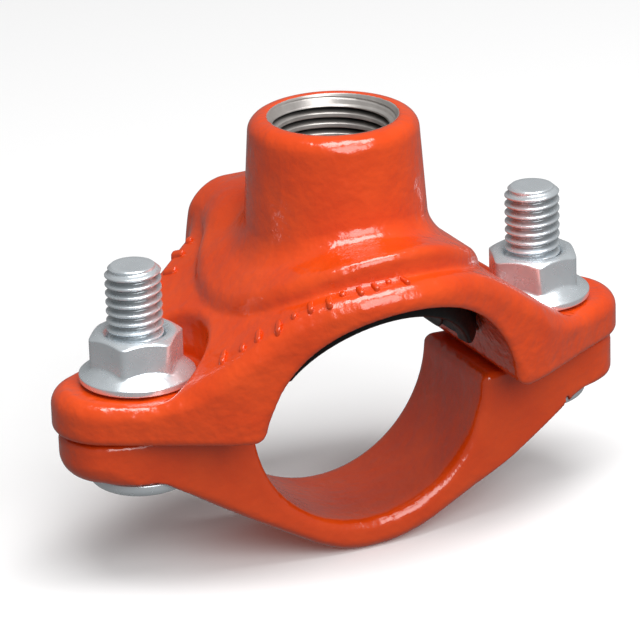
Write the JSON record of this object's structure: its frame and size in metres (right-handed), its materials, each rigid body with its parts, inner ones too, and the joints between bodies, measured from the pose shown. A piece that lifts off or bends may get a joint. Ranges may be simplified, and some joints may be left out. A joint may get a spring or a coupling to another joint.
{
  "type": "bolted branch outlet coupling",
  "caption": "Two-part bolted housing that clamps round a run pipe, with a sealed, female-threaded branch outlet on top.",
  "frame": {"origin": "centre of the run pipe, midway between the two bolts, 0.6 mm below the parting plane of the housings", "axes": "+Z along the branch outlet, away from the run pipe; Y along the run pipe; X from the left bolt to the right bolt"},
  "size_m": [0.1058, 0.0564, 0.0752],
  "materials": {
    "housing_paint": "gloss orange-red enamel on ductile iron casting",
    "gasket_rubber": "moulded black rubber, satin",
    "zinc_steel": "bright zinc plate, slightly blue"
  },
  "bodies": {
    "strap": {"lower_housing": "housing_paint", "bolt_left": "zinc_steel", "bolt_right": "zinc_steel"},
    "saddle": {"upper_housing": "housing_paint", "gasket": "gasket_rubber"},
    "left_nut": {"nut_left": "zinc_steel"},
    "right_nut": {"nut_right": "zinc_steel"}
  },
  "joints": [
    {"name": "saddle_lift", "type": "slide", "parent": "strap", "child": "saddle", "axis": [0, 0, 1], "range_m": [0, 0.0111]},
    {"name": "left_nut_turn", "type": "hinge", "parent": "saddle", "child": "left_nut", "pos_m": [-0.03775, 0, 0.0082], "axis": [0, 0, 1], "range_deg": [0, 2520]},
    {"name": "right_nut_turn", "type": "hinge", "parent": "saddle", "child": "right_nut", "pos_m": [0.03775, 0, 0.0082], "axis": [0, 0, 1], "range_deg": [0, 2520]}
  ],
  "couplings": [
    {"joint": "left_nut_turn", "follows": "saddle_lift", "rad_per_m": 3957.9},
    {"joint": "right_nut_turn", "follows": "saddle_lift", "rad_per_m": 3957.9}
  ]
}
